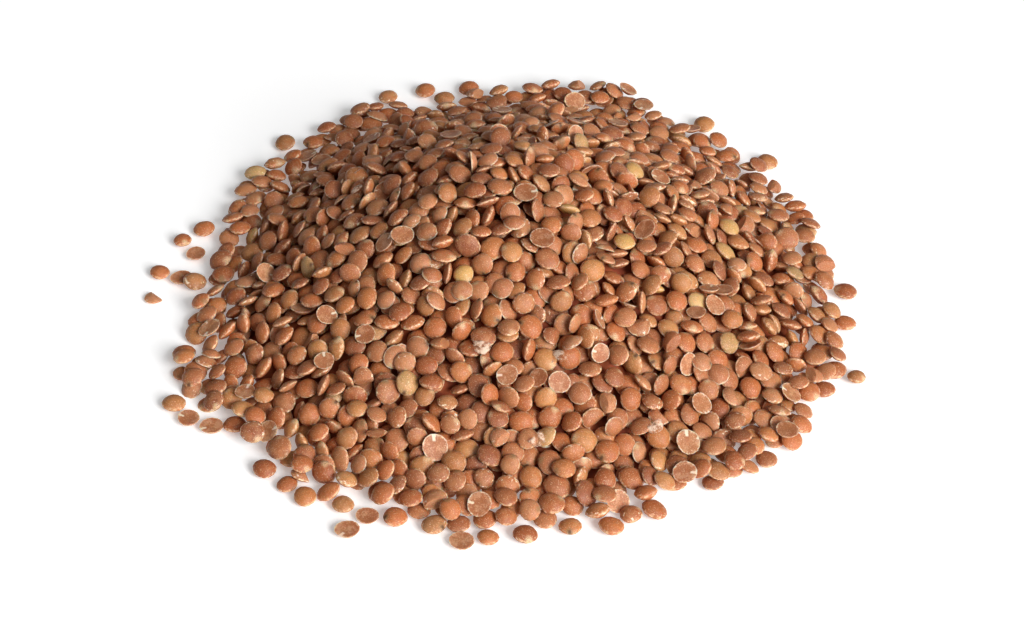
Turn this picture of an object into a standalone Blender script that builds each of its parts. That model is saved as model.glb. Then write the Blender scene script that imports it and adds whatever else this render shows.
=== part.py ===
"""A heap of dry red lentils, poured on a bare surface, with the loose lentils that rolled out round its edge.

The heap is one solid: a mound with lentils of true size fused on all over it. Every loose lentil is a solid of
its own. Lengths are in metres. The origin is on the surface, under the middle of the whole, with +Y away from
the side that the heap is looked at and +Z up.
"""

import math
import random

import bmesh
import bpy
from mathutils import Matrix, Vector

# The mound that the lentils' outer faces make
HEAP_RADIUS = 0.0642
HEAP_HEIGHT = 0.0301
PEAK_ROUNDING = 0.24
# Where the mound runs out or draws in: direction and half width in degrees, and how far
LOBES = (
    (10, 34, 0.0030),
    (72, 14, 0.0030),
    (101, 10, -0.0020),
    (160, 34, -0.0045),
    (178, 12, -0.0028),
    (238, 12, 0.0020),
    (290, 30, 0.0026),
    (330, 18, 0.0040),
)
# Where a single layer of lentils lies out beyond the mound, in the same way
FRINGES = (
    (22, 5, 0.0014),
    (45, 4, 0.0026),
    (72, 9, 0.0034),
    (88, 6, 0.0016),
    (118, 6, 0.0062),
    (148, 6, 0.0034),
    (195, 5, 0.0014),
    (210, 8, 0.0064),
    (238, 8, 0.0024),
    (262, 7, 0.0024),
    (290, 10, 0.0022),
    (318, 8, 0.0042),
    (338, 8, 0.0022),
)

# Lentils
MEAN_WIDTH = 0.0044
LEAST_WIDTH = 0.0038
MOST_WIDTH = 0.0050
WHOLE_THICKNESS = 0.52
HALF_THICKNESS = 0.28

# The mound under the fused lentils
CORE_DEPTH = 0.0018
CORE_TOE = 0.0010
CORE_INSET = 0.0026
CORE_SECTORS = 28
CORE_RINGS = 7
CORE_UNEVENNESS = 0.0004

# The fused lentils
FUSED_COUNT = 310
FUSED_SIDES = 6
FUSED_PROUD = 0.0007
FUSED_TILT = 34
FUSED_SHIFT = 0.0007
RIM_SPACING = 0.0050
RIM_SHIFT = 0.0013
RIM_OVERLAP = 0.85
FLOOR_CLEARANCE = 0.00008
SEED = 7

# The loose lentils: direction in degrees, distance from the middle, and kind
LOOSE = (
    (36, 0.0695, "whole"),
    (51, 0.0692, "whole"),
    (96, 0.0675, "whole"),
    (104, 0.0682, "whole"),
    (101, 0.0645, "whole"),
    (111, 0.0685, "whole"),
    (134, 0.0660, "whole"),
    (163, 0.0632, "whole"),
    (167, 0.0662, "whole"),
    (170, 0.0624, "half"),
    (176, 0.0679, "whole"),
    (177, 0.0641, "half"),
    (182, 0.0684, "chip"),
    (198, 0.0640, "whole"),
    (209, 0.0700, "whole"),
    (213, 0.0691, "half"),
    (216, 0.0672, "half"),
    (230, 0.0670, "whole"),
    (235, 0.0674, "whole"),
    (239, 0.0683, "whole"),
    (245, 0.0667, "whole"),
    (248, 0.0716, "half"),
    (250, 0.0677, "half"),
    (253, 0.0667, "whole"),
    (260, 0.0667, "whole"),
    (265, 0.0697, "half"),
    (268, 0.0688, "whole"),
    (274, 0.0682, "whole"),
    (281, 0.0672, "whole"),
    (287, 0.0690, "whole"),
    (339, 0.0730, "whole"),
    (351, 0.0683, "whole"),
    (359, 0.0685, "whole"),
)
LOOSE_GAP = 0.0003
LOOSE_SIDES = 8
SHOULDER = 0.62
SHOULDER_HEIGHT = 0.74
FLAT_SPOT = 0.24
CHIP_SHARE = 0.62

LENTIL_COLOUR = (0.50, 0.21, 0.10, 1.0)
LENTIL_ROUGHNESS = 0.6


def clear_scene():
    for obj in list(bpy.data.objects):
        bpy.data.objects.remove(obj)


def lentil_material():
    """Dry matt skin, orange brown."""
    material = bpy.data.materials.new("lentil")
    material.use_nodes = True
    shader = material.node_tree.nodes["Principled BSDF"]
    shader.inputs["Base Color"].default_value = LENTIL_COLOUR
    shader.inputs["Roughness"].default_value = LENTIL_ROUGHNESS
    shader.inputs["Metallic"].default_value = 0.0
    return material


def run_out(direction, lobes):
    """How far the lobes reach in this direction, in radians."""
    total = 0
    for middle, half_width, reach in lobes:
        off = (math.degrees(direction) - middle + 180) % 360 - 180
        total += reach * math.exp(-((off / half_width) ** 2))
    return total


def mound_radius(direction):
    return HEAP_RADIUS + run_out(direction, LOBES)


def mound_height(share):
    """Height of the mound at a share of the way from its middle to its edge: a cone with a rounded peak."""
    fall = math.sqrt(share * share + PEAK_ROUNDING**2) - PEAK_ROUNDING
    whole_fall = math.sqrt(1 + PEAK_ROUNDING**2) - PEAK_ROUNDING
    return HEAP_HEIGHT * (1 - fall / whole_fall)


def surface_height(x, y):
    """Height of the mound over a place on the surface, and 0 outside it."""
    share = math.hypot(x, y) / mound_radius(math.atan2(y, x))
    return mound_height(share) if share < 1 else 0.0


def surface_normal(x, y):
    step = 0.001
    slope_x = (surface_height(x + step, y) - surface_height(x - step, y)) / (2 * step)
    slope_y = (surface_height(x, y + step) - surface_height(x, y - step)) / (2 * step)
    return Vector((-slope_x, -slope_y, 1)).normalized()


def add_object(name, mesh, material):
    mesh.materials.append(material)
    obj = bpy.data.objects.new(name, mesh)
    bpy.context.scene.collection.objects.link(obj)
    return obj


def make_core(material):
    """The mound under the fused lentils: a profile spun round, then drawn out to the heap's uneven edge."""
    draw = random.Random(SEED)
    mesh = bpy.data.meshes.new("lentil_heap")
    bm = bmesh.new()
    profile = [bm.verts.new((ring / CORE_RINGS, 0, 0)) for ring in range(CORE_RINGS + 1)]
    edges = [bm.edges.new(pair) for pair in zip(profile, profile[1:])]
    bmesh.ops.spin(
        bm,
        geom=profile + edges,
        cent=(0, 0, 0),
        axis=(0, 0, 1),
        angle=math.tau,
        steps=CORE_SECTORS,
        use_merge=True,
    )
    bmesh.ops.remove_doubles(bm, verts=bm.verts, dist=1e-5)
    rim = [edge for edge in bm.edges if edge.is_boundary]
    lower = bmesh.ops.extrude_edge_only(bm, edges=rim)["geom"]
    floor_verts = {item for item in lower if isinstance(item, bmesh.types.BMVert)}
    bmesh.ops.contextual_create(bm, geom=[item for item in lower if isinstance(item, bmesh.types.BMEdge)])
    for vert in bm.verts:
        share = math.hypot(vert.co.x, vert.co.y)
        direction = math.atan2(vert.co.y, vert.co.x)
        reach = share * (mound_radius(direction) - CORE_INSET)
        height = mound_height(reach / mound_radius(direction)) - CORE_DEPTH
        height += draw.uniform(-CORE_UNEVENNESS, CORE_UNEVENNESS)
        place = Vector((reach * math.cos(direction), reach * math.sin(direction), max(height, CORE_TOE)))
        if vert in floor_verts:
            place.z = 0
        vert.co = place
    bmesh.ops.triangulate(bm, faces=[face for face in bm.faces if len(face.verts) == 4])
    bmesh.ops.recalc_face_normals(bm, faces=bm.faces)
    bm.to_mesh(mesh)
    bm.free()
    return add_object("lentil_heap", mesh, material)


def lentil_width(draw):
    return min(max(draw.gauss(MEAN_WIDTH, 0.00028), LEAST_WIDTH), MOST_WIDTH)


def rough_lentil_mesh():
    """One fused lentil, 1 across and 1 thick, with few sides."""
    mesh = bpy.data.meshes.new("fused_lentil")
    bm = bmesh.new()
    bmesh.ops.create_cone(bm, segments=FUSED_SIDES, radius1=0.5, radius2=0, depth=0.5)
    bmesh.ops.translate(bm, verts=bm.verts, vec=(0, 0, 0.25))
    foot = bm.verts.new((0, 0, -0.5))
    rim = [edge for edge in bm.edges if max(vert.co.z for vert in edge.verts) < 0.1]
    for edge in rim:
        bm.faces.new((foot, *edge.verts))
    bmesh.ops.recalc_face_normals(bm, faces=bm.faces)
    bm.to_mesh(mesh)
    bm.free()
    return mesh


def loose_places():
    """The loose lentils' places and widths, moved apart where two would touch."""
    draw = random.Random(SEED + 1)
    places = []
    for direction, distance, kind in LOOSE:
        angle = math.radians(direction)
        width = lentil_width(draw) * (0.9 if kind == "chip" else 1.0)
        places.append([Vector((distance * math.cos(angle), distance * math.sin(angle))), width, kind])
    for _ in range(60):
        for i, first in enumerate(places):
            for second in places[i + 1 :]:
                apart = second[0] - first[0]
                short = (first[1] + second[1]) / 2 + 1.5 * LOOSE_GAP - apart.length
                if short > 0:
                    push = apart.normalized() * (short / 2)
                    first[0] = first[0] - push
                    second[0] = second[0] + push
    return places


def fused_places(draw):
    """Where lentils are fused on: on a sunflower's spiral over the mound, and in rows from the edge in to it."""
    golden_angle = math.pi * (3 - math.sqrt(5))
    places = []
    for index in range(FUSED_COUNT):
        direction = index * golden_angle
        width = lentil_width(draw)
        reach = math.sqrt((index + 0.5) / FUSED_COUNT) * (mound_radius(direction) - 1.5 * width)
        x = reach * math.cos(direction) + draw.uniform(-FUSED_SHIFT, FUSED_SHIFT)
        y = reach * math.sin(direction) + draw.uniform(-FUSED_SHIFT, FUSED_SHIFT)
        places.append((Vector((x, y)), width, False))
    direction = 0.0
    while direction < math.tau - RIM_SPACING / HEAP_RADIUS / 2:
        width = lentil_width(draw)
        outermost = mound_radius(direction) + run_out(direction, FRINGES) - width / 2 - draw.uniform(0, RIM_SHIFT)
        row = max(math.ceil((outermost - mound_radius(direction) + width) / (RIM_OVERLAP * width)), 1)
        for step in range(row):
            reach = outermost - step * RIM_OVERLAP * width
            places.append((Vector((reach * math.cos(direction), reach * math.sin(direction))), width, True))
        direction += RIM_SPACING * draw.uniform(0.9, 1.15) / outermost
    return places


def drawn_in(place, width, loose):
    """The place, or the first one nearer the middle that is clear of the loose lentils."""
    while any((place - other).length < (width + across) / 2 + 1.5 * LOOSE_GAP for other, across, _ in loose):
        place = place * 0.995
    return place


def fuse_lentils(core, material, loose):
    """Joins lentils of true size to the core, clear of the loose ones."""
    draw = random.Random(SEED + 2)
    shape = rough_lentil_mesh()
    shape.materials.append(material)
    group = bpy.data.collections.new("fused_lentils")
    bpy.context.scene.collection.children.link(group)
    for index, (place, width, at_rim) in enumerate(fused_places(draw)):
        place = drawn_in(place, width, loose)
        normal = Vector((0, 0, 1)) if at_rim else surface_normal(*place)
        tilt = math.radians(draw.uniform(0, 6 if at_rim else FUSED_TILT))
        lean = Matrix.Rotation(tilt, 4, Vector((math.cos(index), math.sin(index), 0)))
        turn = normal.to_track_quat("Z", "Y").to_matrix().to_4x4() @ lean @ Matrix.Rotation(index, 4, "Z")
        thickness = width * WHOLE_THICKNESS * draw.uniform(0.9, 1.1)
        size = Matrix.Diagonal((width, width, thickness, 1))
        lowest = FLOOR_CLEARANCE - min((turn @ size @ vert.co).z for vert in shape.vertices)
        height = surface_height(*place) - CORE_DEPTH + FUSED_PROUD
        lentil = bpy.data.objects.new("fused_lentil", shape)
        lentil.matrix_world = Matrix.Translation((*place, lowest if at_rim else max(height, lowest))) @ turn @ size
        group.objects.link(lentil)
    join = core.modifiers.new("fuse", "BOOLEAN")
    join.operation = "UNION"
    join.operand_type = "COLLECTION"
    join.collection = group
    join.solver = "EXACT"
    bpy.context.view_layer.objects.active = core
    bpy.ops.object.modifier_apply(modifier=join.name)
    for lentil in list(group.objects):
        bpy.data.objects.remove(lentil)
    bpy.data.collections.remove(group)
    keep_outer_shell(core.data)


def keep_outer_shell(mesh):
    """Keeps the largest connected shell: a hollow sealed between lentils is filled, and a loose scrap is dropped."""
    bm = bmesh.new()
    bm.from_mesh(mesh)
    bmesh.ops.triangulate(bm, faces=bm.faces)
    waiting = set(bm.faces)
    shells = []
    while waiting:
        shell = []
        front = [waiting.pop()]
        while front:
            face = front.pop()
            shell.append(face)
            for edge in face.edges:
                for neighbour in edge.link_faces:
                    if neighbour in waiting:
                        waiting.remove(neighbour)
                        front.append(neighbour)
        shells.append(shell)
    shells.sort(key=len, reverse=True)
    spare = [face for shell in shells[1:] for face in shell]
    bmesh.ops.delete(bm, geom=spare, context="FACES")
    bm.to_mesh(mesh)
    bm.free()


def spun_lentil(outline):
    """A lentil turned from an outline of (radius, height) points, from its top to its foot."""
    bm = bmesh.new()
    verts = [bm.verts.new((radius, 0, height)) for radius, height in outline]
    edges = [bm.edges.new(pair) for pair in zip(verts, verts[1:])]
    bmesh.ops.spin(
        bm,
        geom=verts + edges,
        cent=(0, 0, 0),
        axis=(0, 0, 1),
        angle=math.tau,
        steps=LOOSE_SIDES,
        use_merge=True,
    )
    bmesh.ops.remove_doubles(bm, verts=bm.verts, dist=1e-6)
    rim = [edge for edge in bm.edges if edge.is_boundary]
    if rim:
        bmesh.ops.contextual_create(bm, geom=rim)
    bmesh.ops.recalc_face_normals(bm, faces=bm.faces)
    return bm


def whole_outline(radius, thickness):
    half = thickness / 2
    return (
        (0, thickness),
        (radius * SHOULDER, half + half * SHOULDER_HEIGHT),
        (radius, half),
        (radius * SHOULDER, half - half * SHOULDER_HEIGHT),
        (radius * FLAT_SPOT, 0),
    )


def half_outline(radius, thickness):
    """A split lentil on its domed side, with its flat inner face up."""
    return (
        (0, thickness * 0.9),
        (radius * 0.96, thickness * 0.94),
        (radius, thickness * 0.72),
        (radius * SHOULDER, thickness * 0.18),
        (radius * FLAT_SPOT, 0),
    )


def make_loose(number, place, width, kind, material):
    """One loose lentil, lying flat on the surface. A chip is a half with a side broken off."""
    share = WHOLE_THICKNESS if kind == "whole" else HALF_THICKNESS
    outline = whole_outline if kind == "whole" else half_outline
    bm = spun_lentil(outline(width / 2, width * share))
    if kind == "chip":
        cut = bmesh.ops.bisect_plane(
            bm,
            geom=bm.verts[:] + bm.edges[:] + bm.faces[:],
            plane_co=(width * (CHIP_SHARE - 0.5), 0, 0),
            plane_no=(1, 0.25, 0),
            clear_outer=True,
        )["geom_cut"]
        bmesh.ops.contextual_create(bm, geom=[item for item in cut if isinstance(item, bmesh.types.BMEdge)])
        bmesh.ops.recalc_face_normals(bm, faces=bm.faces)
    mesh = bpy.data.meshes.new("loose_lentil")
    bm.to_mesh(mesh)
    bm.free()
    mesh.shade_smooth()
    mesh.set_sharp_from_angle(angle=math.radians(50))
    obj = add_object(f"loose_lentil_{number:02d}", mesh, material)
    obj.location = (place.x, place.y, 0)
    obj.rotation_euler = (0, 0, number)


def centre_on_origin():
    """Moves everything so that the middle of the whole, seen from above, is over the origin."""
    bpy.context.view_layer.update()
    points = [obj.matrix_world @ vert.co for obj in bpy.data.objects for vert in obj.data.vertices]
    for axis in (0, 1):
        along = [point[axis] for point in points]
        for obj in bpy.data.objects:
            obj.location[axis] -= (min(along) + max(along)) / 2


def main():
    clear_scene()
    material = lentil_material()
    loose = loose_places()
    heap = make_core(material)
    fuse_lentils(heap, material, loose)
    for number, (place, width, kind) in enumerate(loose, start=1):
        make_loose(number, place, width, kind, material)
    centre_on_origin()


main()
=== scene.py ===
import math

import bpy
import numpy as np
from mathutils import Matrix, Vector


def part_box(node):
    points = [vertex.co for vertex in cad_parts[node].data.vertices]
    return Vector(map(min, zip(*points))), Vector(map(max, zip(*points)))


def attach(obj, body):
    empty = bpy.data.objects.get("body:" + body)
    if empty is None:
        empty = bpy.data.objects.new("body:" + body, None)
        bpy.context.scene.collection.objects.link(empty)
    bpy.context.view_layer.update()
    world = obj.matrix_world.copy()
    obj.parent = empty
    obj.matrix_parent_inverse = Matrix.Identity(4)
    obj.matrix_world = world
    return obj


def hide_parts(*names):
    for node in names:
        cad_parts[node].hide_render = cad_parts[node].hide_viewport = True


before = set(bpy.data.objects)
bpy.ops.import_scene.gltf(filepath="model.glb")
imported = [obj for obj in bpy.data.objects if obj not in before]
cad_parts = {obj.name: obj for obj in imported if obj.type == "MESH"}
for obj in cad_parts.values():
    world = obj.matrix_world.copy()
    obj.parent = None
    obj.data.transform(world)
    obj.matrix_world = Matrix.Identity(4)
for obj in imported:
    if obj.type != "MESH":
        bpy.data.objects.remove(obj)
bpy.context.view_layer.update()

# The heap's inside: a lumpy mound a few lentils deep under the heap's surface, of the same form, coloured
# dark red-brown as painted shade for the lentils seen deep in the gaps. The foot and the height are read
# off the frame's heap. A disc is drawn out ring by ring, then pulled up into the cone.
TOP_SHARE = 0.9
ON_FLOOR = 0.00001
SECTOR = 3
FOOT_INSET = 0.0026
MOUND_INSET = 0.0075
MOUND_DEPTH = 0.0046
MOUND_RINGS = 26
MOUND_SIDES = 96
MOUND_LUMPS = 0.0004
MOUND_LEAST = 0.0002
PEAK_ROUNDING = 0.24
# The mound's two colours are painted shade, darker than any lentil's skin
MOUND_SHADE_BROWN = (0.20, 0.030, 0.008)
MOUND_SHADE_TAN = (0.36, 0.080, 0.023)
MOUND_MOTTLE = 450
MOUND_ROUGHNESS = 0.8

rng = np.random.default_rng(11)
heap_points = np.array([vert.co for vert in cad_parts["lentil_heap"].data.vertices])
peak_height = heap_points[:, 2].max()
peak_x, peak_y = heap_points[heap_points[:, 2] > TOP_SHARE * peak_height, :2].mean(axis=0)


def directions_and_distances(points):
    """Each point's direction from the peak in degrees, and its distance, in the directions' order."""
    direction = np.degrees(np.arctan2(points[:, 1] - peak_y, points[:, 0] - peak_x))
    order = direction.argsort()
    return direction[order], np.hypot(points[:, 0] - peak_x, points[:, 1] - peak_y)[order]


foot_directions, foot_distances = directions_and_distances(heap_points[heap_points[:, 2] < ON_FLOOR])
point_directions, point_distances = directions_and_distances(heap_points)
sectors = np.arange(0, 360, SECTOR)
edge_distances = []
for sector in sectors:
    away = np.abs((point_directions - sector + 180) % 360 - 180)
    edge_distances.append(point_distances[away < SECTOR].max())


def foot_share(x, y):
    """How far a place is from the peak to the mound's foot, as a share."""
    direction = np.degrees(np.arctan2(y - peak_y, x - peak_x))
    reach = np.interp(direction, foot_directions, foot_distances, period=360) + FOOT_INSET
    return np.hypot(x - peak_x, y - peak_y) / reach


def surface_height(x, y):
    """Height of the heap's surface: a cone with a rounded peak, below the floor outside its foot."""
    fall = np.sqrt(foot_share(x, y) ** 2 + PEAK_ROUNDING**2) - PEAK_ROUNDING
    return peak_height * (1 - fall / (math.sqrt(1 + PEAK_ROUNDING**2) - PEAK_ROUNDING))


class Paint:
    """A socket in a material's nodes that can be used in sums, and from which further nodes are made."""

    def __init__(self, tree, socket=None):
        self.tree = tree
        self.socket = socket

    def node(self, kind, settings=None, sockets=None, output=0):
        """Adds a node. A ramp's stops are (position, colour) pairs."""
        made = self.tree.nodes.new(kind)
        for name, setting in (settings or {}).items():
            if name == "stops":
                while len(made.color_ramp.elements) < len(setting):
                    made.color_ramp.elements.new(0.5)
                for element, (position, colour) in zip(made.color_ramp.elements, setting):
                    element.position = position
                    element.color = (*colour, 1)
            else:
                setattr(made, name, setting)
        for name, value in (sockets or {}).items():
            if isinstance(value, Paint):
                self.tree.links.new(value.socket, made.inputs[name])
            else:
                made.inputs[name].default_value = value
        return Paint(self.tree, made.outputs[output])

    def sum(self, operation, *values):
        return self.node("ShaderNodeMath", {"operation": operation}, dict(enumerate(values)))

    def __add__(self, other):
        return self.sum("ADD", self, other)

    def __radd__(self, other):
        return self.sum("ADD", other, self)

    def __sub__(self, other):
        return self.sum("SUBTRACT", self, other)

    def __rsub__(self, other):
        return self.sum("SUBTRACT", other, self)

    def __mul__(self, other):
        return self.sum("MULTIPLY", self, other)

    def __rmul__(self, other):
        return self.sum("MULTIPLY", other, self)


def new_material(name):
    """A material, the Paint to add its nodes with, and its shader."""
    material = bpy.data.materials.new(name)
    material.use_nodes = True
    return material, Paint(material.node_tree), material.node_tree.nodes["Principled BSDF"]


def ramp_between(value, low, high):
    """0 up to low, 1 from high, smooth between."""
    ends = {"Value": value, "From Min": low, "From Max": high}
    return value.node("ShaderNodeMapRange", {"interpolation_type": "SMOOTHSTEP"}, ends)


def blend_colours(share, first, second):
    """The first colour where share is 0, and the second where it is 1."""
    return share.node("ShaderNodeMix", {"data_type": "RGBA"}, {0: share, 6: first, 7: second}, output=2)


def noise(vector, scale, detail=3.0, roughness=0.55):
    """Cloudy noise over a vector, from 0 to 1."""
    sockets = {"Vector": vector, "Scale": scale, "Detail": detail, "Roughness": roughness}
    return vector.node("ShaderNodeTexNoise", None, sockets)


bpy.ops.object.select_all(action="DESELECT")
bpy.ops.mesh.primitive_circle_add(vertices=MOUND_SIDES, radius=1 / MOUND_RINGS, fill_type="TRIFAN")
mound = bpy.context.object
mound.name = "heap_inside"
bpy.ops.object.mode_set(mode="EDIT")
bpy.ops.mesh.select_all(action="DESELECT")
bpy.ops.mesh.select_mode(type="EDGE")
bpy.ops.mesh.select_non_manifold()
for ring in range(2, MOUND_RINGS + 1):
    bpy.ops.mesh.extrude_edges_move()
    bpy.ops.transform.resize(value=(ring / (ring - 1), ring / (ring - 1), 1))
bpy.ops.mesh.extrude_edges_move(TRANSFORM_OT_translate={"value": (0, 0, -1)})
bpy.ops.mesh.edge_face_add()
bpy.ops.mesh.select_all(action="SELECT")
bpy.ops.mesh.normals_make_consistent(inside=False)
bpy.ops.object.mode_set(mode="OBJECT")
disc = np.array([vert.co for vert in mound.data.vertices])
directions = np.degrees(np.arctan2(disc[:, 1], disc[:, 0]))
reach = np.interp(directions, foot_directions, foot_distances, period=360) - MOUND_INSET
mound_x = peak_x + disc[:, 0] * reach
mound_y = peak_y + disc[:, 1] * reach
mound_z = surface_height(mound_x, mound_y) - MOUND_DEPTH
mound_z += rng.uniform(-MOUND_LUMPS, MOUND_LUMPS, len(disc))
mound_z = np.where(disc[:, 2] < -0.5, 0, np.maximum(mound_z, MOUND_LEAST))
mound.data.vertices.foreach_set("co", np.stack([mound_x, mound_y, mound_z], axis=1).ravel())
mound.data.shade_smooth()

mound_material, paint, shader = new_material("heap_inside")
object_place = paint.node("ShaderNodeTexCoord", output=3)
lumps = noise(object_place, MOUND_MOTTLE)
# Painted shade: dark browns mottled by noise that stand for lentils lying in the shade of the gaps
brown = blend_colours(ramp_between(lumps, 0.35, 0.65), (*MOUND_SHADE_BROWN, 1), (*MOUND_SHADE_TAN, 1))
paint.tree.links.new(brown.socket, shader.inputs["Base Color"])
shader.inputs["Roughness"].default_value = MOUND_ROUGHNESS
mound.data.materials.append(mound_material)
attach(mound, "root")
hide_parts("lentil_heap")

# How the lentils lie: they are dropped one by one where the heap is lowest, and each turns and shifts
# until it lies as low as it can on a height map of those before it. The loose ones come first, as the
# frame has them, then a few just outside the foot, then a ring along the foot, then all the others.
CELL = 0.00025
WINDOW = 10
SHIFTS = (-4, -2, 0, 2, 4)
TURNS = 10
STEP = 0.001
EDGE_HEIGHT = 0.0033
MEAN_WIDTH = 0.0044
WIDTH_SPREAD = 0.00028
LEAST_WIDTH = 0.0038
MOST_WIDTH = 0.0050
RIM_SPACING = 0.0046
RIM_UNEVEN = (0.85, 1.3)
RIM_SHIFT = (-0.0016, 0.0020)
RIM_MARGIN = 2
RIM_CLEAR = 0.0006
RIM_LEANS = (0, 6)
PROUD = 0.0009
PROUD_ON_EDGE = 0.0018
PROUD_AT_FOOT = 0.0017
ON_EDGE_SHARE = 0.12
LEAST_GAP = 0.0005
BARE_SPOTS = 12
BARE_BAND = (0.002, 0.005)
BARE_RADIUS = 0.0021
TRIES = 240
MOST_MISSES = 40
SHUT = 3
JOSTLE = 0.00012
EASY_LEANS = (0, 8, 16, 25, 36)
STEEP_LEANS = (52, 66, 80)
EDGE_LEANS = (0, 8, 17, 28)
EDGE_BAND = 0.0075
FLAT_FROM = 0.94
LOOSE_LEAN = 9
ROUND_SHARE = 0.95
SPLIT_SHARE = 0.4
# Lentils just outside the foot: direction from the middle in degrees, and distance
FOOT_LENTILS = (
    (176, 0.0570),
    (177, 0.0605),
    (182, 0.0592),
    (189, 0.0591),
    (192, 0.0600),
    (241, 0.0653),
    (256, 0.0629),
    (263, 0.0651),
    (267, 0.0637),
    (286, 0.0650),
    (291, 0.0656),
    (294, 0.0671),
    (316, 0.0690),
)
FOOT_SHIFTS = (-2, 0, 2)
# Each kind's share of the heap, and its thickness as a share of its width
KINDS = {
    "plump": (0.57, 0.51),
    "flat": (0.30, 0.41),
    "split": (0.07, 0.26),
    "broken": (0.045, 0.42),
    "husked": (0.015, 0.46),
}

cells = 2 * int(max(edge_distances) / CELL + 2 * WINDOW)
line = (np.arange(cells) - cells / 2 + 0.5) * CELL
ground_x, ground_y = np.meshgrid(peak_x + line, peak_y + line)
ground_directions = np.degrees(np.arctan2(ground_y - peak_y, ground_x - peak_x))
to_edge = np.interp(ground_directions, sectors, edge_distances, period=360)
to_edge -= np.hypot(ground_x - peak_x, ground_y - peak_y)
ground_surface = surface_height(ground_x, ground_y)
support = np.maximum(ground_surface - MOUND_DEPTH, 0)
wanted = np.where(to_edge > 0, np.maximum(ground_surface, EDGE_HEIGHT), 0)
steps = (np.arange(2 * WINDOW + 1) - WINDOW) * CELL
window_x, window_y = np.meshgrid(steps, steps)
laid = {kind: [] for kind in KINDS}


def shells(width, thickness, normals):
    """Heights of a lentil's under and upper side about its middle, over the window, for each facing."""
    across = 4 / width**2
    extra = 4 / thickness**2 - across
    normal_x, normal_y, normal_z = normals.T[:, :, None, None]
    lean = normal_x * window_x + normal_y * window_y
    upright = across + extra * normal_z**2
    slant = extra * normal_z * lean
    inside = slant**2 - upright * (across * (window_x**2 + window_y**2) + extra * lean**2 - 1)
    root = np.sqrt(np.maximum(inside, 0))
    lower = np.where(inside > 0, (-slant - root) / upright, np.inf)
    upper = np.where(inside > 0, (-slant + root) / upright, -np.inf)
    return lower, upper


def facings(x, y, leans):
    """Ways to face: out of the heap's surface here, and leaning from that by each angle to all sides."""
    fall_x = surface_height(x - STEP, y) - surface_height(x + STEP, y)
    fall_y = surface_height(x, y - STEP) - surface_height(x, y + STEP)
    out = np.array([fall_x, fall_y, 2 * STEP])
    if foot_share(x, y) > FLAT_FROM:
        out = np.array([0.0, 0.0, 1.0])
    out /= np.linalg.norm(out)
    sideways = np.cross(out, (0.0, 1.0, 0.0))
    sideways /= np.linalg.norm(sideways)
    onward = np.cross(out, sideways)
    found = []
    for lean in np.radians(leans):
        for turn in rng.uniform(0, math.tau) + np.arange(TURNS) * math.tau / TURNS:
            side = math.cos(turn) * sideways + math.sin(turn) * onward
            found.append(math.cos(lean) * out + math.sin(lean) * side)
    found = np.array(found)
    return found * np.where(found[:, 2:] < 0, -1, 1)


def window_at(row, column):
    """The height map about a cell."""
    return support[row - WINDOW : row + WINDOW + 1, column - WINDOW : column + WINDOW + 1]


def lay(kind, row, column, width, leans, shifts, proud):
    """Settles a lentil near a cell, and adds it unless it would stand too proud of the heap."""
    thickness = width * KINDS[kind][1] * rng.uniform(0.9, 1.1)
    normals = facings(ground_x[row, column], ground_y[row, column], leans)
    lower, upper = shells(width, thickness, normals)
    best = (np.inf,)
    for row_shift in shifts:
        for column_shift in shifts:
            place = (row + row_shift, column + column_shift)
            heights = (window_at(*place) - lower).max(axis=(1, 2))
            depth = heights - wanted[place] + rng.uniform(0, JOSTLE, len(heights))
            pick = depth.argmin()
            if depth[pick] < best[0]:
                best = (depth[pick], place, heights[pick], pick)
    _, place, height, pick = best
    top = height + upper[pick]
    if (top - wanted[place]).max() > proud:
        return False
    window = window_at(*place)
    np.maximum(window, top, out=window)
    laid[kind].append((ground_x[place], ground_y[place], height, *normals[pick], width, thickness))
    return True


def cell_of(x, y):
    """The row and column of a place."""
    return int((y - ground_y[0, 0]) / CELL + 0.5), int((x - ground_x[0, 0]) / CELL + 0.5)


def draw_width():
    """A lentil's width."""
    return min(max(rng.normal(MEAN_WIDTH, WIDTH_SPREAD), LEAST_WIDTH), MOST_WIDTH)


def draw_kind():
    """A lentil's kind, by the kinds' shares."""
    return rng.choice(list(KINDS), p=[share for share, _ in KINDS.values()])


loose = {"plump": [], "split": [], "broken": []}
loose_nodes = {kind: [] for kind in loose}
for node in sorted(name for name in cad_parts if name.startswith("loose_lentil")):
    low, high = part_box(node)
    middle = (low + high) / 2
    width = max(high.x - low.x, high.y - low.y)
    thickness = high.z - low.z
    narrow = min(high.x - low.x, high.y - low.y) / width < ROUND_SHARE
    kind = "broken" if narrow else "plump" if thickness / width > SPLIT_SHARE else "split"
    lean = math.radians(rng.uniform(0, LOOSE_LEAN)) if kind == "plump" else 0
    side = rng.uniform(0, math.tau)
    out = (math.sin(lean) * math.cos(side), math.sin(lean) * math.sin(side), math.cos(lean))
    height = math.hypot(width / 2 * math.sin(lean), thickness / 2 * math.cos(lean))
    loose[kind].append((middle.x, middle.y, height, *out, width, thickness))
    loose_nodes[kind].append(node)
    spot = window_at(*cell_of(middle.x, middle.y))
    _, upper = shells(width, thickness, np.array([[0.0, 0.0, 1.0]]))
    np.maximum(spot, middle.z + upper[0], out=spot)

for direction, distance in FOOT_LENTILS:
    turn = math.radians(direction)
    row, column = cell_of(distance * math.cos(turn), distance * math.sin(turn))
    lay(draw_kind(), row, column, draw_width(), EDGE_LEANS, FOOT_SHIFTS, math.inf)

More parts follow.
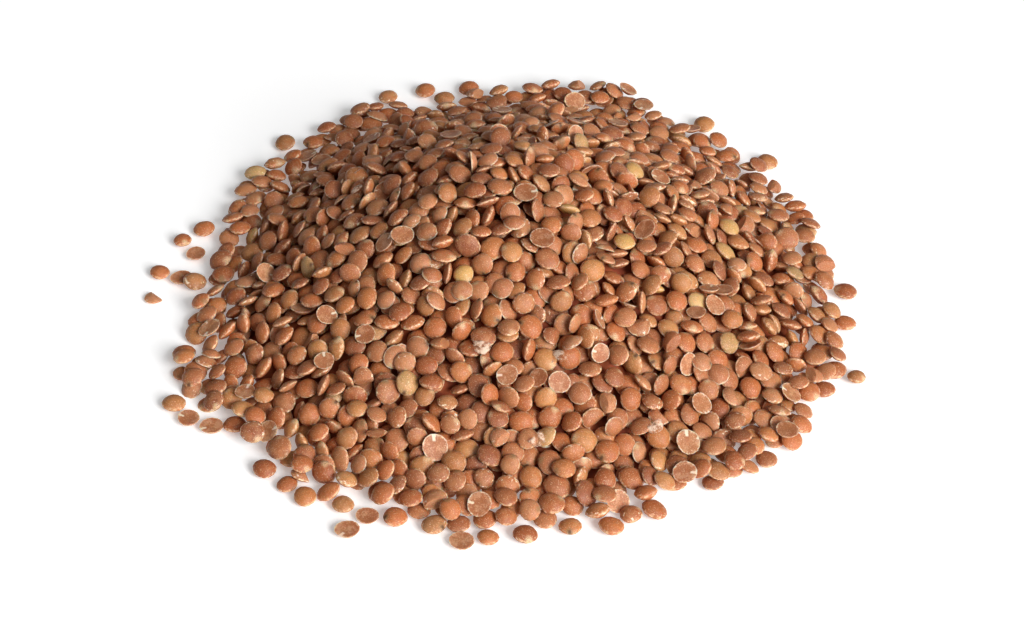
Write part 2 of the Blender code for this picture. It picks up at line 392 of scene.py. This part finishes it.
direction = 0.0
while direction < math.tau:
    width = draw_width()
    reach = np.interp(math.degrees(direction), sectors, edge_distances, period=360)
    reach -= width / 2 + rng.uniform(*RIM_SHIFT)
    row, column = cell_of(peak_x + reach * math.cos(direction), peak_y + reach * math.sin(direction))
    if window_at(row, column)[RIM_MARGIN:-RIM_MARGIN, RIM_MARGIN:-RIM_MARGIN].max() < RIM_CLEAR:
        lay(draw_kind(), row, column, width, RIM_LEANS, (0,), math.inf)
    direction += RIM_SPACING * rng.uniform(*RIM_UNEVEN) / reach

shut = to_edge < MEAN_WIDTH / 2
for _ in range(BARE_SPOTS):
    direction = rng.uniform(0, 360)
    reach = np.interp(direction, sectors, edge_distances, period=360) - rng.uniform(*BARE_BAND)
    x = peak_x + reach * math.cos(math.radians(direction))
    y = peak_y + reach * math.sin(math.radians(direction))
    shut |= np.hypot(ground_x - x, ground_y - y) < BARE_RADIUS
misses = 0
while misses < MOST_MISSES:
    rows, columns = rng.integers(2 * WINDOW, cells - 2 * WINDOW, (2, TRIES))
    gaps = np.where(shut[rows, columns], -1, wanted[rows, columns] - support[rows, columns])
    lowest = gaps.argmax()
    if gaps[lowest] < LEAST_GAP:
        misses += 1
        continue
    misses = 0
    row, column = rows[lowest], columns[lowest]
    at_foot = to_edge[row, column] < EDGE_BAND
    on_edge = rng.random() < ON_EDGE_SHARE and not at_foot
    leans = STEEP_LEANS if on_edge else EDGE_LEANS if at_foot else EASY_LEANS
    proud = PROUD_ON_EDGE if on_edge else PROUD_AT_FOOT if at_foot else PROUD
    if not lay(draw_kind(), row, column, draw_width(), leans, SHIFTS, proud):
        shut[row - SHUT : row + SHUT + 1, column - SHUT : column + SHUT + 1] = True

# Plump lentils: whole ones with a dry, dull orange-brown skin, a thin lighter rim that is partly wear and
# partly a painted highlight, and a pale scar where the germ sat. One is a sphere pressed to a lens with
# its rim drawn out; each copy is squeezed, swollen and turned its own way.
PLUMP_TONES = (
    (0.0, (0.31, 0.084, 0.026)),
    (0.25, (0.39, 0.118, 0.036)),
    (0.5, (0.45, 0.138, 0.043)),
    (0.7, (0.45, 0.162, 0.050)),
    (0.85, (0.37, 0.148, 0.052)),
    (1.0, (0.52, 0.222, 0.073)),
)
# The rim's pale colour is partly wear and partly a painted highlight; a split's dusty inner face takes it
# too
RIM_COLOUR = (0.84, 0.58, 0.37)
SCAR_COLOUR = (0.74, 0.52, 0.30)
HILUM_COLOUR = (0.30, 0.18, 0.08)
SPECK_COLOUR = (0.84, 0.58, 0.38)
BLOOM_COLOUR = (0.57, 0.30, 0.14)
CHIP_COLOUR = (0.90, 0.74, 0.56)
PIP_COLOUR = (0.10, 0.042, 0.02)
SCAR_PLACE = (0.86, 0, 0)
# How far a lentil is from round: oval, three-cornered, wavy, thicker on one side and lopsided
OVAL = 0.045
CORNERS = 0.02
WAVES = 0.012
SWELLING = 0.16
LOPSIDED = 0.12
UV_FILL = 0.44
# Keeps a lentil's spin from lining up with the way it faces
SPIN_LIFT = 0.013
# A lentil has this many sides and rings of points
LENS_SIDES = 14
LENS_RINGS = 6
# Parts the noise of one lentil from that of the next
NOISE_SHIFT = (61, 47, 53)
SKIN_RELIEF = 0.00012
SCATTER_DEPTH = 0.0012
SCATTER_COLOUR = (1.0, 0.35, 0.15)
# Rows of a sphere's points between two heights, and how they are spread and squashed
LENS_ROWS = ((0.3, 0.7, 1.0, 0.77), (0.7, 0.95, 1.04, 0.97))


def lens(name):
    """A sphere of radius 1 whose rim is drawn out thin."""
    bpy.ops.object.select_all(action="DESELECT")
    bpy.ops.mesh.primitive_uv_sphere_add(segments=LENS_SIDES, ring_count=LENS_RINGS, radius=1)
    shape = bpy.context.object
    shape.name = name
    bpy.ops.object.mode_set(mode="EDIT")
    bpy.ops.mesh.select_mode(type="VERT")
    for low, high, spread, squash in LENS_ROWS:
        bpy.ops.mesh.select_all(action="DESELECT")
        bpy.ops.object.mode_set(mode="OBJECT")
        for vert in shape.data.vertices:
            vert.select = low < abs(vert.co.z) < high
        bpy.ops.object.mode_set(mode="EDIT")
        bpy.ops.transform.resize(value=(spread, spread, squash), center_override=(0, 0, 0))
    bpy.ops.object.mode_set(mode="OBJECT")
    return shape


def join_copies(name, shape, places):
    """One mesh of copies of a shape, each with its own outline and its own two squares in the UV map."""
    points = np.array([vert.co for vert in shape.data.vertices])
    places = np.array(places)
    count = len(places)
    draws = rng.random((count, 6))
    turn = np.arctan2(points[:, 1], points[:, 0])
    oval = 1 + OVAL * np.cos(2 * (turn - math.tau * draws[:, :1]))
    oval += CORNERS * np.cos(3 * (turn - math.tau * draws[:, 1:2]))
    oval += WAVES * np.cos(5 * (turn - math.tau * draws[:, 4:5]))
    swelling = 1 + SWELLING * (draws[:, 2:3] - 0.5) * np.sign(points[:, 2])
    swelling += LOPSIDED * (draws[:, 3:4] - 0.5) * points[:, 0]
    local = np.stack([points[:, 0] * oval, points[:, 1] * oval, points[:, 2] * swelling], axis=2)
    local *= np.stack([places[:, 6], places[:, 6], places[:, 7]], axis=1)[:, None] / 2
    out = places[:, 3:6]
    spin = rng.uniform(0, math.tau, count)
    along = np.cross(np.stack([np.cos(spin), np.sin(spin), np.full(count, SPIN_LIFT)], axis=1), out)
    along /= np.linalg.norm(along, axis=1)[:, None]
    across = np.cross(out, along)
    world = places[:, None, :3] + local @ np.stack([along, across, out], axis=1)
    polygons = [list(polygon.vertices) for polygon in shape.data.polygons]
    faces = []
    for copy in range(count):
        faces += [[corner + len(points) * copy for corner in polygon] for polygon in polygons]
    mesh = bpy.data.meshes.new(name)
    mesh.from_pydata(world.reshape(-1, 3).tolist(), [], faces)
    place = mesh.attributes.new("place", "FLOAT_VECTOR", "POINT")
    place.data.foreach_set("vector", np.tile(points, (count, 1)).ravel())
    draw = mesh.attributes.new("draw", "FLOAT_VECTOR", "POINT")
    draw.data.foreach_set("vector", np.repeat(rng.random((count, 3)), len(points), axis=0).ravel())
    squares = math.ceil(math.sqrt(2 * count))
    corners = np.array([corner for polygon in polygons for corner in polygon])
    below = np.array([polygon.center.z < 0 for polygon in shape.data.polygons for _ in polygon.vertices])
    square = 2 * np.arange(count)[:, None] + below
    spot = np.stack([square % squares, square // squares], axis=2) + 0.5 + UV_FILL * points[corners, :2]
    mesh.uv_layers.new(name="OFBake").data.foreach_set("uv", (spot / squares).ravel())
    mesh.shade_smooth()
    mesh.update()
    joined = bpy.data.objects.new(name, mesh)
    bpy.context.scene.collection.objects.link(joined)
    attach(joined, "root")
    return joined


def add_piece(name, shape, places, skin, nodes, sharp_angle=180):
    """One piece of copies of a shape, in place of some of the frame's nodes."""
    piece = join_copies(name, shape, places)
    piece.data.set_sharp_from_angle(angle=math.radians(sharp_angle))
    piece.data.materials.append(skin)
    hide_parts(*nodes)


def add_lentils(kind, shape, skin, sharp_angle=180):
    """One piece of the heap's lentils of a kind, and one of the loose ones where the kind has any."""
    add_piece(kind + "_lentils", shape, laid[kind], skin, ["lentil_heap"], sharp_angle)
    if loose.get(kind):
        loose_name = "loose_" + kind + "_lentils"
        add_piece(loose_name, shape, loose[kind], skin, loose_nodes[kind], sharp_angle)
    bpy.data.objects.remove(shape)


def own_places(paint):
    """A lentil's three draws, the place on it, and that place shifted to noise of the lentil's own."""
    place = paint.node("ShaderNodeAttribute", {"attribute_name": "place"}, output=1)
    draw = paint.node("ShaderNodeAttribute", {"attribute_name": "draw"}, output=1)
    shifted = {0: draw, 1: NOISE_SHIFT, 2: place}
    return draw, place, paint.node("ShaderNodeVectorMath", {"operation": "MULTIPLY_ADD"}, shifted)


def lentil_skin(name, tones, rim_share=0.75, speck_share=0.6, chipped=0.15, split=False):
    """Dry lentil skin in tones drawn lentil by lentil, with a pale rim that is partly wear and partly a
    painted highlight. A share of the lentils is chipped, and a split one has its pale germ on the inner
    face."""
    material, paint, shader = new_material(name)
    draw, place, own_place = own_places(paint)
    draw_x = draw.node("ShaderNodeSeparateXYZ", None, {0: draw}, output=0)
    draw_y = draw.node("ShaderNodeSeparateXYZ", None, {0: draw}, output=1)
    draw_z = draw.node("ShaderNodeSeparateXYZ", None, {0: draw}, output=2)
    level = place.node("ShaderNodeVectorMath", {"operation": "MULTIPLY"}, {0: place, 1: (1, 1, 0)})
    from_middle = place.node("ShaderNodeVectorMath", {"operation": "LENGTH"}, {0: level}, output=1)
    to_scar = {0: level, 1: SCAR_PLACE}
    from_scar = place.node("ShaderNodeVectorMath", {"operation": "DISTANCE"}, to_scar, output=1)
    mottle = noise(own_place, 1.4)
    patches = noise(own_place, 3.2)
    grain = noise(own_place, 8.0, 4.0, 0.7)

    colour = draw.node("ShaderNodeValToRGB", {"stops": tones}, {0: draw_x})
    shade = 0.84 + 0.34 * mottle + 1.1 * (grain - 0.5)
    colour = draw.node("ShaderNodeVectorMath", {"operation": "SCALE"}, {0: colour, "Scale": shade})
    bloom = ramp_between(mottle + 0.5 * draw_z, 0.80, 1.05) * 0.25
    colour = blend_colours(bloom, colour, (*BLOOM_COLOUR, 1))
    specks = ramp_between(noise(own_place, 11.0, 2.0), 0.59, 0.68) * speck_share
    colour = blend_colours(specks, colour, (*SPECK_COLOUR, 1))
    # The pale rim, laid where these patches fall, is partly wear and partly a painted highlight on the lit
    # edge
    wear_and_highlight = ramp_between(patches, 0.38, 0.58) * rim_share
    rim = ramp_between(from_middle + 0.3 * (grain + patches - 1), 0.86, 0.99) * wear_and_highlight
    colour = blend_colours(rim, colour, (*RIM_COLOUR, 1))
    chip = ramp_between(patches + 0.22 * from_middle, 0.78, 0.84) * 0.8
    chip = chip * ramp_between(draw_z, 1 - chipped, 1.01 - chipped)
    colour = blend_colours(chip, colour, (*CHIP_COLOUR, 1))
    scar = 0.75 - 0.75 * ramp_between(from_scar + 0.6 * (grain - 0.5), 0.10, 0.46)
    scar = scar * ramp_between(draw_y, 0.5, 0.52)
    scar_colour = blend_colours(ramp_between(draw_y, 0.84, 0.85), (*SCAR_COLOUR, 1), (*HILUM_COLOUR, 1))
    flecks = ramp_between(noise(own_place, 13.0, 3.0), 0.54, 0.60) * 0.85
    scar_colour = blend_colours(flecks, scar_colour, (*PIP_COLOUR, 1))
    colour = blend_colours(scar, colour, scar_colour)
    pip = 0.85 - 0.85 * ramp_between(from_scar + 0.2 * (grain - 0.5), 0.05, 0.2)
    colour = blend_colours(pip * ramp_between(draw_y, 0.91, 0.92), colour, (*PIP_COLOUR, 1))
    if split:
        along = place.node("ShaderNodeSeparateXYZ", None, {0: place}, output=0)
        aside = place.node("ShaderNodeSeparateXYZ", None, {0: place}, output=1)
        height = place.node("ShaderNodeSeparateXYZ", None, {0: place}, output=2)
        aside = aside.sum("ABSOLUTE", aside + 0.2 * (patches - 0.5))
        inside = 1 - ramp_between(height, -0.78, -0.6)
        dull = ramp_between(patches + 0.8 * (grain - 0.5), 0.62, 0.40) * inside * 0.3
        colour = blend_colours(dull, colour, (*tones[0][1], 1))
        heading = place.node("ShaderNodeVectorMath", {"operation": "NORMALIZE"}, {0: level})
        streaks = noise(heading.node("ShaderNodeVectorMath", None, {0: heading, 1: draw}), 7.0, 2.0)
        streak = ramp_between(streaks, 0.5, 0.62) * ramp_between(from_middle, 0.15, 0.5) * inside
        colour = blend_colours(streak * 0.5, colour, (*tones[0][1], 1))
        dusty = ramp_between(mottle + 0.7 * (grain - 0.5), 0.48, 0.62) * inside
        colour = blend_colours(dusty * 0.22, colour, (*RIM_COLOUR, 1))
        furrow = 0.6 - 0.6 * ramp_between(aside + 0.2 * (grain - 0.5), 0.08, 0.26)
        furrow = furrow * ramp_between(along, 0.0, 0.4) * inside
        colour = blend_colours(furrow, colour, (*tones[0][1], 1))
        ring = ramp_between(from_middle + 0.3 * (grain + patches - 1), 0.84, 0.98) * inside * 0.35
        colour = blend_colours(ring, colour, (*CHIP_COLOUR, 1))
        germ = 0.8 - 0.8 * ramp_between(aside + 0.1 * (1 - along), 0.12, 0.18)
        germ = germ * ramp_between(along, 0.38, 0.52) * inside * ramp_between(draw_y, 0.4, 0.42)
        colour = blend_colours(germ, colour, (*CHIP_COLOUR, 1))
    paint.tree.links.new(colour.socket, shader.inputs["Base Color"])
    rough = 0.36 + 0.28 * grain
    paint.tree.links.new(rough.socket, shader.inputs["Roughness"])
    relief = grain + 0.8 * mottle
    bump = paint.node("ShaderNodeBump", None, {"Height": relief, "Strength": 0.6, "Distance": SKIN_RELIEF})
    paint.tree.links.new(bump.socket, shader.inputs["Normal"])
    shader.inputs["Subsurface Weight"].default_value = 0.45
    shader.inputs["Subsurface Radius"].default_value = SCATTER_COLOUR
    shader.inputs["Subsurface Scale"].default_value = SCATTER_DEPTH
    shader.inputs["Specular IOR Level"].default_value = 0.4
    return material


plump = lens("plump_lentil")
add_lentils("plump", plump, lentil_skin("plump_skin", PLUMP_TONES))

# Flat lentils: whole ones that dried thin, duller and browner than the plump ones. They are the same
# lens, made flatter by the thickness that each has in the heap.
FLAT_TONES = (
    (0.0, (0.28, 0.084, 0.032)),
    (0.3, (0.35, 0.116, 0.043)),
    (0.6, (0.41, 0.147, 0.057)),
    (1.0, (0.46, 0.184, 0.075)),
)
flat = lens("flat_lentil")
add_lentils("flat", flat, lentil_skin("flat_skin", FLAT_TONES, chipped=0.2))

# Split lentils: halves with a domed skin on one side and a flat inner face on the other, paler round its
# edge and sunk a little in the middle. A lens is cut in two, and the cut face is inset and pushed in.
# Some lie upside down, and so do all the loose ones.
TURNED_OVER = {"heap": 0.4, "loose": 1}
SPLIT_TONES = (
    (0.0, (0.36, 0.119, 0.044)),
    (0.4, (0.42, 0.155, 0.063)),
    (0.7, (0.45, 0.180, 0.078)),
    (1.0, (0.46, 0.188, 0.085)),
)
split = lens("split_lentil")
bpy.ops.object.mode_set(mode="EDIT")
bpy.ops.mesh.select_all(action="SELECT")
bpy.ops.mesh.bisect(plane_co=(0, 0, -0.02), plane_no=(0, 0, 1), use_fill=True, clear_inner=True)
bpy.ops.mesh.inset(thickness=0.14, depth=0)
bpy.ops.mesh.inset(thickness=0.3, depth=-0.10)
bpy.ops.mesh.poke(offset=0.02)
bpy.ops.mesh.select_all(action="SELECT")
bpy.ops.transform.translate(value=(0, 0, -0.5))
bpy.ops.transform.resize(value=(1, 1, 2), center_override=(0, 0, 0))
bpy.ops.mesh.normals_make_consistent(inside=False)
bpy.ops.object.mode_set(mode="OBJECT")
for places, share in ((laid["split"], TURNED_OVER["heap"]), (loose["split"], TURNED_OVER["loose"])):
    for number, (x, y, height, *out, width, thickness) in enumerate(places):
        if rng.random() < share:
            places[number] = (x, y, height, *(-np.array(out)), width, thickness)
add_lentils("split", split, lentil_skin("split_skin", SPLIT_TONES, split=True), 50)

# Broken lentils: whole ones with a side knocked off, pale and rough where they broke. A lens is cut by a
# slanting plane, and the cut is filled with a fan of faces round its middle.
broken = lens("broken_lentil")
bpy.ops.object.mode_set(mode="EDIT")
bpy.ops.mesh.select_all(action="SELECT")
bpy.ops.mesh.bisect(plane_co=(0.35, 0, 0), plane_no=(1, 0.2, 0.35), use_fill=True, clear_outer=True)
bpy.ops.mesh.poke()
bpy.ops.object.mode_set(mode="OBJECT")
add_lentils("broken", broken, lentil_skin("broken_skin", SPLIT_TONES, chipped=0.5), 50)

# Lentils that kept some of their husk: a few grey-green and yellowish skins among the orange ones. They
# are the same lens again.
HUSK_TONES = (
    (0.0, (0.34, 0.20, 0.08)),
    (0.35, (0.44, 0.24, 0.09)),
    (0.6, (0.60, 0.34, 0.10)),
    (0.8, (0.42, 0.20, 0.10)),
    (1.0, (0.62, 0.40, 0.16)),
)
husked = lens("husked_lentil")
add_lentils("husked", husked, lentil_skin("husk_skin", HUSK_TONES, speck_share=0.9))

# Skin flakes: pale, thin, half see-through scraps of skin that lie on the lentils here and there. A cap
# of a sphere is given a thickness, and the flakes are put on the heap where the height map has it.
FLAKE_COUNT = 8
FLAKE_WIDTH = (0.0028, 0.0042)
FLAKE_LEANS = (5, 35)
FLAKE_HEIGHT = 0.4
FLAKE_SINK = 0.12
FLAKE_MARGIN = 6
FLAKE_REST = 8
FLAKE_PINK = (0.60, 0.30, 0.17)
FLAKE_WHITE = (0.84, 0.64, 0.49)
FLAKE_THICKNESS = 0.05
FLAKE_ROUGHNESS = 0.6
FLAKE_SHEEN = 0.2
FLAKE_RELIEF = 0.0001
bpy.ops.object.select_all(action="DESELECT")
bpy.ops.mesh.primitive_uv_sphere_add(segments=10, ring_count=8, radius=1)
flake = bpy.context.object
flake.name = "skin_flake"
bpy.ops.object.mode_set(mode="EDIT")
bpy.ops.mesh.select_all(action="SELECT")
bpy.ops.mesh.bisect(plane_co=(0, 0, 0.45), plane_no=(0.15, 0, 1), clear_inner=True)
bpy.ops.mesh.select_all(action="SELECT")
bpy.ops.mesh.bisect(plane_co=(0.5, 0, 0), plane_no=(1, 0.5, 0), clear_outer=True)
bpy.ops.object.mode_set(mode="OBJECT")
thicken = flake.modifiers.new("thickness", "SOLIDIFY")
thicken.thickness = FLAKE_THICKNESS
bpy.ops.object.modifier_apply(modifier=thicken.name)
flakes = []
while len(flakes) < FLAKE_COUNT:
    row, column = rng.integers(2 * WINDOW, cells - 2 * WINDOW, 2)
    if to_edge[row, column] < EDGE_BAND:
        continue
    x, y = ground_x[row, column], ground_y[row, column]
    out = facings(x, y, (rng.uniform(*FLAKE_LEANS),))[0]
    width = rng.uniform(*FLAKE_WIDTH)
    under = window_at(row, column)[FLAKE_MARGIN:-FLAKE_MARGIN, FLAKE_MARGIN:-FLAKE_MARGIN]
    height = np.sort(under, axis=None)[-FLAKE_REST] - FLAKE_SINK * width
    flakes.append((x, y, height, *out, width, FLAKE_HEIGHT * width))
flake_skin, paint, shader = new_material("flake_skin")
wrinkles = noise(own_places(paint)[2], 1.8, 4.0, 0.6)
colour = blend_colours(ramp_between(wrinkles, 0.4, 0.6), (*FLAKE_PINK, 1), (*FLAKE_WHITE, 1))
opacity = 0.05 + 0.55 * ramp_between(wrinkles, 0.38, 0.62)
bump = paint.node("ShaderNodeBump", None, {"Height": wrinkles, "Strength": 0.4, "Distance": FLAKE_RELIEF})
paint.tree.links.new(colour.socket, shader.inputs["Base Color"])
paint.tree.links.new(opacity.socket, shader.inputs["Alpha"])
paint.tree.links.new(bump.socket, shader.inputs["Normal"])
shader.inputs["Roughness"].default_value = FLAKE_ROUGHNESS
shader.inputs["Specular IOR Level"].default_value = FLAKE_SHEEN
add_piece("skin_flakes", flake, flakes, flake_skin, ["lentil_heap"])
bpy.data.objects.remove(flake)

# The floor: a plain white table with no edge in sight, a plane that glows a little so that it stays
# white.
FLOOR_WHITE = (0.93, 0.93, 0.93)
FLOOR_GLOW = 0.26
FLOOR_ROUGHNESS = 0.7
FLOOR_SIZE = 6
FLOOR_DROP = 0.00005
bpy.ops.object.select_all(action="DESELECT")
bpy.ops.mesh.primitive_plane_add(size=FLOOR_SIZE, location=(0, 0, -FLOOR_DROP))
floor = bpy.context.object
floor.name = "floor"
floor_material, paint, shader = new_material("floor_white")
shader.inputs["Base Color"].default_value = (*FLOOR_WHITE, 1)
shader.inputs["Roughness"].default_value = FLOOR_ROUGHNESS
shader.inputs["Emission Color"].default_value = (1, 1, 1, 1)
shader.inputs["Emission Strength"].default_value = FLOOR_GLOW
floor.data.materials.append(floor_material)

# Lights and camera: a soft lamp low in front on the right, a wide one overhead, and a little light from
# all round. The camera looks down on the heap from the front.
LAMPS = {
    "key": {"direction": 309, "elevation": 29, "distance": 3.2, "size": 1.6, "power": 160},
    "overhead": {"direction": 330, "elevation": 75, "distance": 1.4, "size": 1.3, "power": 3},
}
AMBIENT = 0.10
CAMERA_PLACE = (0.0021, -0.3876, 0.332)
CAMERA_ELEVATION = 41
CAMERA_LENS = 90.35

for name, lamp in LAMPS.items():
    light = bpy.data.lights.new(name, "AREA")
    light.size = lamp["size"]
    light.energy = lamp["power"]
    holder = bpy.data.objects.new(name, light)
    turn = math.radians(lamp["direction"])
    rise = math.radians(lamp["elevation"])
    holder.location = (
        lamp["distance"] * math.cos(rise) * math.cos(turn),
        lamp["distance"] * math.cos(rise) * math.sin(turn),
        lamp["distance"] * math.sin(rise),
    )
    holder.rotation_euler = (math.pi / 2 - rise, 0, turn + math.pi / 2)
    bpy.context.scene.collection.objects.link(holder)

world = bpy.data.worlds.new("studio")
world.use_nodes = True
world.node_tree.nodes["Background"].inputs["Color"].default_value = (1, 1, 1, 1)
world.node_tree.nodes["Background"].inputs["Strength"].default_value = AMBIENT
bpy.context.scene.world = world

camera_data = bpy.data.cameras.new("camera")
camera_data.lens = CAMERA_LENS
camera_data.sensor_width = 36
camera = bpy.data.objects.new("camera", camera_data)
camera.location = CAMERA_PLACE
camera.rotation_euler = (math.radians(90 - CAMERA_ELEVATION), 0, 0)
bpy.context.scene.collection.objects.link(camera)
bpy.context.scene.camera = camera
bpy.context.scene.view_settings.view_transform = "Standard"
